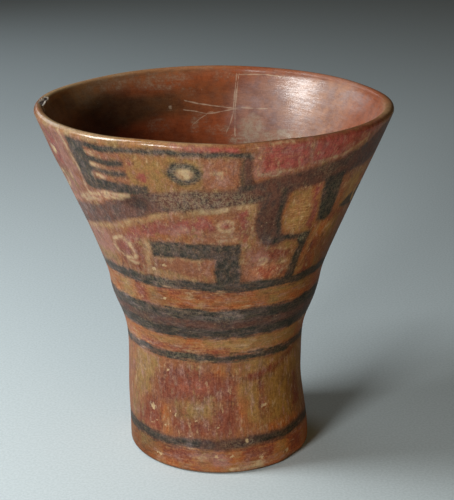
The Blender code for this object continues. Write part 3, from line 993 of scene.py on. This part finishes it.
def cup_material():
    """Painted, worn and burnished clay. Lengths are in mm, and a field of noise runs from 0 to 1."""
    tree = Tree("painted_clay")
    mix, step, blend, weigh, noise = tree.mix, tree.step, tree.blend, tree.weigh, tree.noise
    times, plus, larger, linear, rest = tree.times, tree.plus, tree.larger, tree.linear, tree.rest
    scaled, parts, read = tree.scaled, tree.parts, tree.attribute

    spot = scaled(tree.add("ShaderNodeTexCoord").outputs["Object"], (1 / MM, 1 / MM, 1 / MM))
    across, height = parts(spot)[1:]
    level_marks = scaled(spot, (0.10, 0.10, 1.0))
    upright_marks = scaled(spot, (1.0, 1.0, 0.07))

    coarse = noise(spot, 0.045, 3.0)
    medium = noise(spot, 0.22, 4.0, 0.6)
    fine = noise(spot, 0.85, 3.0, 0.6)
    grain = noise(spot, 2.0, 2.0, 0.6)
    level_lines = noise(level_marks, 0.9, 4.0, 0.65)
    level_hairs = noise(level_marks, 2.6, 2.0, 0.6)
    upright_lines = noise(upright_marks, 0.55, 4.0, 0.65)
    upright_hairs = noise(upright_marks, 2.0, 2.0, 0.6)

    # The brush went round on the bands and the inside, and up and down on the panels
    depth_in = read("depth_in")
    is_inside = step(depth_in, -1.0, 1.0)
    bands = times(step(height, *BANDS_BEGIN), step(height, *BANDS_END))
    bands = larger(bands, step(height, *FOOT_BAND_END))
    bands = larger(bands, is_inside)
    lines = blend(bands, upright_lines, level_lines)
    hairs = blend(bands, upright_hairs, level_hairs)

    # How far the edges of the paint stray, in mm
    wander = weigh((fine, 0.8), (medium, 1.4), (lines, 0.35))
    edge_drift = plus(wander, weigh((grain, 0.35)))
    edge_drift = plus(edge_drift, times(weigh((level_lines, 4.5)), bands))
    wash_drift = weigh((lines, 7.0), (hairs, 2.0), (medium, 8.0), (fine, 4.0))
    drifts = {"brush": edge_drift, "wash": wash_drift}

    # Share of the paint that is left, less of it for two that are more broken, and which shade shows
    rubbed = weigh((fine, 0.40), (lines, 0.35), (grain, 0.25), (medium, 0.30))
    kept = step(rubbed, 0.16, -0.02)
    broken = step(weigh((medium, 1.0), (lines, 0.6), (fine, 0.3)), 0.14, -0.04, 0.30, 1.0)
    turned = step(weigh((lines, 0.60), (hairs, 0.18), (fine, 0.14), (medium, 0.75)), -0.12, 0.12)

    # The clay and the coats of paint, once in each shade
    bare = read("tint", "Vector")
    patches = noise(scaled(spot, (1.0, 1.0, 0.25)), 0.16, 3.0)
    first = mix(step(patches, 0.50, 0.62, 0.0, 0.45), bare, PAINT["orange"])
    second = mix(step(patches, 0.50, 0.40, 0.0, 0.55), scaled(first, TONES["second"]), PAINT["olive"])
    covers = {}
    for name, kind, softness, thin, main_shade, second_shade in COATS:
        cover = step(plus(read(name), drifts[kind]), softness, -softness)
        cover = times(cover, linear(kept, thin, 1.0 - thin))
        if name in ("sand", "cream"):
            cover = times(cover, broken)
        first = mix(cover, first, main_shade)
        second = mix(cover, second, second_shade)
        covers[name] = cover
    colour = mix(turned, first, second)
    warm = read("warm")
    colour = mix(warm, colour, scaled(colour, TONES["warm"]))

    # Smears that handling and dirt have left: pink veils, pale rubs and dark stains
    tall_smears = noise(scaled(spot, (1.0, 1.0, 0.42)), 0.42, 4.0, 0.68, 1)
    long_smears = noise(scaled(spot, (0.36, 0.36, 1.0)), 0.42, 4.0, 0.68, 1)
    veil, pale, stain = parts(mix(bands, tall_smears, long_smears))
    on_light = linear(larger(covers["dark"], covers["plum"]), -0.72, 1.0)
    colour = mix(times(step(veil, 0.54, 0.68, 0.0, 0.50), on_light), colour, WEAR["veil"])
    colour = mix(times(step(pale, 0.55, 0.69, 0.0, 0.50), on_light), colour, WEAR["rub"])
    stained = scaled(colour, TONES["stained"])
    colour = mix(step(stain, 0.54, 0.68, 0.0, 0.65), colour, stained)
    scraped = read("scraped")
    scrapes = times(step(noise(level_marks, 1.5, 2.0), 0.50, 0.60), scraped)
    colour = mix(times(scrapes, 0.24), colour, WEAR["scrape"])
    cuts = times(step(noise(level_marks, 1.0, 2.0), 0.45, 0.36), scraped)
    colour = mix(times(cuts, 0.75), colour, WEAR["cut"])
    # Painted sheen, partly dusty bloom: a milky veil over the paint
    sheen_and_haze = times(read("hazed_and_sheen"), step(veil, 0.42, 0.62, 0.016, 0.095))
    colour = mix(sheen_and_haze, colour, WEAR["milky_sheen"])

    # The inside wall is burnished clay, clouded and veiled, with scratches and bare spots
    clouded = step(weigh((medium, 0.9), (level_lines, 0.30), (fine, 0.45)), -0.16, 0.16)
    inner = mix(clouded, scaled(bare, TONES["inner_light"]), scaled(bare, TONES["inner_dark"]))
    veiled = step(weigh((veil, 1.0), (medium, 0.6)), -0.12, 0.20, 0.0, 0.32)
    inner = mix(veiled, inner, scaled(bare, TONES["inner_veil"]))
    bare_spots = read("spots")
    nearest = bare_spots
    for name in ("scratches", "small_scratches"):
        for line in parts(read(name, "Vector")):
            nearest = tree.maths("MINIMUM", nearest, tree.maths("ABSOLUTE", line))
    scratched = step(plus(nearest, weigh((medium, 1.2), (grain, 0.3))), 0.34, 0.02, 0.0, 0.46)
    on_line = step(read("near_scratch"), 1.2, 0.7)
    on_spot = step(bare_spots, 1.2, 0.7)
    inner = mix(times(scratched, larger(on_line, on_spot)), inner, WEAR["scratch"])
    colour = mix(step(plus(depth_in, wander), -0.8, 0.8), colour, inner)

    # The lip is rubbed down to the clay in places, but not under the cream strokes, so that the painted
    # highlight along the front right lip stays
    from_lip = tree.maths("ABSOLUTE", plus(depth_in, wander))
    lip_rub = times(step(from_lip, 2.8, 0.6), step(medium, 0.38, 0.56, 0.35, 0.85))
    lip_rub = times(lip_rub, rest(covers["cream"]))
    colour = mix(lip_rub, colour, scaled(bare, TONES["lip"]))

    # Grain, brush hairs and broad light and dark
    depth = linear(coarse, 0.40, 0.80)
    for field, amount in ((fine, 1.15), (grain, 0.95), (hairs, 0.9), (lines, 0.75), (medium, 0.6)):
        depth = times(depth, linear(field, amount, 1.0 - amount / 2))
    depth = blend(is_inside, depth, linear(depth, 0.55, 0.45))
    colour = tree.shade(colour, times(depth, read("shade")))

    # Pale rubbed flecks, dusty scuffs and grains of temper
    flecks = step(weigh((grain, 0.60), (hairs, 0.25), (fine, 0.65)), -0.10, 0.12)
    fleck_strength = times(linear(read("speckle"), 0.50, 0.06), blend(is_inside, 1.0, 0.3))
    colour = mix(times(flecks, fleck_strength), colour, WEAR["fleck"])
    scuff = read("scuff")
    dust = times(scuff, weigh((fine, 3.0), (lines, 2.0), (medium, 2.0)))
    dust = step(linear(scuff, 0.6, dust), 0.30, 0.85, 0.0, 0.55)
    inner_dust = weigh((medium, 2.6), (fine, 1.3), (level_lines, 1.4), (grain, 0.6))
    inner_dust = step(linear(scuff, inner_dust, scuff), 0.35, 1.45, 0.0, 0.55)
    colour = mix(blend(is_inside, dust, inner_dust), colour, WEAR["dust"])
    cells = tree.add("ShaderNodeTexVoronoi", {"Vector": spot, "Scale": 0.42}).outputs["Distance"]
    chosen = step(noise(spot, 0.12, 2.0), 0.52, 0.66)
    specks = times(step(cells, 0.16, 0.07), times(chosen, rest(is_inside)))
    colour = mix(times(specks, 0.40), colour, PAINT["cream"])

    # Pits, broken places at the lip, painted contact shade at the foot's bottom edge and underside, and the
    # foot's worn edge
    pit = plus(read("pit"), weigh((grain, 1.0), (fine, 2.0)))
    pits = step(pit, 0.50, 0.90, 0.0, 0.75)
    colour = mix(pits, colour, WEAR["pit"])
    flake = read("flake")
    flake = plus(flake, times(weigh((grain, 0.6), (fine, 1.0)), step(flake, 0.0, 0.1)))
    flakes = step(flake, 0.10, 0.28)
    hollow = step(flake, 0.62, 0.85)
    colour = mix(flakes, colour, mix(hollow, WEAR["broken"], WEAR["hollow"]))
    # Painted shade: a contact shadow darkens the bottom edge of the foot and the underside
    foot_contact_shade = step(plus(height, wander), 1.6, 0.2, 0.0, 0.7)
    colour = mix(foot_contact_shade, colour, WEAR["foot_contact_shade"])
    bare_foot = step(plus(read("worn"), wander), 0.2, 1.0, 0.0, 0.8)
    colour = mix(bare_foot, colour, WEAR["bare_foot"])

    # The inside and the lip are burnished, with dull streaks, and the painted outside is nearly matt
    polish = larger(step(from_lip, 4.0, 1.6), is_inside)
    streaks = step(weigh((level_lines, 1.0), (level_hairs, 0.5), (medium, 0.5)), -0.14, 0.10)
    gloss = times(polish, linear(streaks, 0.60, 0.40))
    gloss = times(gloss, step(depth_in, 1.0, 3.0, 1.0, 0.66))
    gloss = times(gloss, step(depth_in, 7.0, 30.0, 1.0, 0.25))
    back_lip = times(step(from_lip, 5.0, 3.0), step(across, -10.0, 30.0, 0.0, 0.85))
    gloss = times(gloss, rest(back_lip))
    dull = larger(larger(flakes, pits), times(scuff, 1.1))
    gloss = times(gloss, rest(tree.maths("MINIMUM", dull, 1.0)))
    sheen = step(weigh((medium, 1.0), (lines, 0.6)), -0.1, 0.2, 0.03, 0.16)
    gloss = larger(gloss, times(sheen, linear(warm, -0.9, 1.0)))
    roughness = linear(fine, 0.30, 0.42)
    roughness = linear(plus(flakes, pits), 0.35, roughness)
    roughness = linear(polish, -0.15, roughness)

    relief = times(weigh((fine, 0.6), (lines, 0.8), (grain, 0.3)), blend(polish, 1.0, 0.35))
    surface = {"Strength": BUMP_STRENGTH, "Distance": BUMP_DEPTH * MM, "Height": relief}
    bump = tree.add("ShaderNodeBump", surface).outputs[0]

    shader = tree.add("ShaderNodeBsdfPrincipled", {
        "Base Color": colour,
        "Roughness": roughness,
        "Normal": bump,
        "IOR": 1.38,
        "Specular IOR Level": 0.15,
        "Coat Weight": gloss,
        "Coat Roughness": 0.22,
        "Coat IOR": 1.80,
        "Coat Normal": bump,
    })
    tree.add("ShaderNodeOutputMaterial", {"Surface": shader.outputs[0]})
    return tree.material


cup = make_cup()
cup.data.materials.append(cup_material())
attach(cup, "root")
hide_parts("kero_cup")


FLOOR_HALF = 3.0
FLOOR_COLOURS = ((0.58, 0.70, 0.755), (0.66, 0.78, 0.84))
FLOOR_GRAIN = 900.0


def make_floor():
    """A plain pale floor."""
    corners = [(x * FLOOR_HALF, y * FLOOR_HALF, 0) for x, y in ((-1, -1), (1, -1), (1, 1), (-1, 1))]
    mesh = bpy.data.meshes.new("floor")
    mesh.from_pydata(corners, [], [(0, 1, 2, 3)])
    floor = bpy.data.objects.new("floor", mesh)
    bpy.context.scene.collection.objects.link(floor)
    tree = Tree("pale_floor")
    grain = tree.noise(tree.add("ShaderNodeTexCoord").outputs["Object"], FLOOR_GRAIN, 2.0)
    colour = tree.mix(tree.step(grain, 0.3, 0.7), *FLOOR_COLOURS)
    surface = {"Base Color": colour, "Roughness": 0.9, "Specular IOR Level": 0.2}
    shader = tree.add("ShaderNodeBsdfPrincipled", surface)
    tree.add("ShaderNodeOutputMaterial", {"Surface": shader.outputs[0]})
    mesh.materials.append(tree.material)


# Soft boxes that look at the middle of the cup: name, azimuth, elevation, distance in metres, width and
# height, power, colour
LIGHTS = (
    ("side", -81.0, 42.0, 0.68, (0.22, 0.40), 3.7, (1.0, 0.98, 0.95)),
    ("front", -32.0, 18.0, 0.80, (0.18, 0.18), 3.7, (1.0, 0.96, 0.91)),
    ("fill", 22.0, 5.0, 1.00, (0.50, 0.10), 1.6, (1.0, 0.70, 0.34)),
    ("back", -138.0, 26.0, 1.10, (0.80, 0.40), 1.4, (0.96, 0.98, 1.0)),
)
CUP_MIDDLE = (0.0, 0.0, 0.075)
ROOM_COLOUR = (1.0, 0.74, 0.46, 1.0)
ROOM_STRENGTH = 0.022


def add_area_light(name, azimuth, elevation, distance, size, power, colour):
    turn, rise = math.radians(azimuth), math.radians(elevation)
    way = Vector((math.sin(turn) * math.cos(rise), -math.cos(turn) * math.cos(rise), math.sin(rise)))
    light = bpy.data.lights.new(name, "AREA")
    light.shape = "RECTANGLE"
    light.size, light.size_y = size
    light.energy = power
    light.color = colour
    lamp = bpy.data.objects.new(name, light)
    lamp.location = Vector(CUP_MIDDLE) + distance * way
    lamp.rotation_euler = (-way).to_track_quat("-Z", "Y").to_euler()
    bpy.context.scene.collection.objects.link(lamp)


def light_scene():
    for light in LIGHTS:
        add_area_light(*light)
    world = bpy.data.worlds.new("soft_room")
    world.use_nodes = True
    background = world.node_tree.nodes["Background"]
    background.inputs[0].default_value = ROOM_COLOUR
    background.inputs[1].default_value = ROOM_STRENGTH
    bpy.context.scene.world = world
    bpy.context.scene.view_settings.view_transform = "Standard"


# The camera that the photograph was taken with, solved from the rim, the foot and the outline: place in
# metres, angles in radians, lens and film width in mm
CAMERA_PLACE = (0.0, -0.540, 0.27029)
CAMERA_PITCH = 0.3298
CAMERA_YAW = 0.0054
CAMERA_ROLL = 0.0056
CAMERA_LENS = 97.08
CAMERA_FILM = 36.0
CAMERA_NEAREST = 0.01


def place_camera():
    data = bpy.data.cameras.new("camera")
    data.sensor_width = CAMERA_FILM
    data.lens = CAMERA_LENS
    data.clip_start = CAMERA_NEAREST
    pitch, yaw, roll = CAMERA_PITCH, CAMERA_YAW, CAMERA_ROLL
    forward = Vector((math.sin(yaw) * math.cos(pitch), math.cos(yaw) * math.cos(pitch), -math.sin(pitch)))
    level = Vector((math.cos(yaw), -math.sin(yaw), 0.0))
    upright = level.cross(forward)
    right = math.cos(roll) * level + math.sin(roll) * upright
    up = math.cos(roll) * upright - math.sin(roll) * level
    turn = Matrix((right, up, -forward)).transposed().to_4x4()
    camera = bpy.data.objects.new("camera", data)
    camera.matrix_world = Matrix.Translation(CAMERA_PLACE) @ turn
    bpy.context.scene.collection.objects.link(camera)
    bpy.context.scene.camera = camera


make_floor()
light_scene()
place_camera()
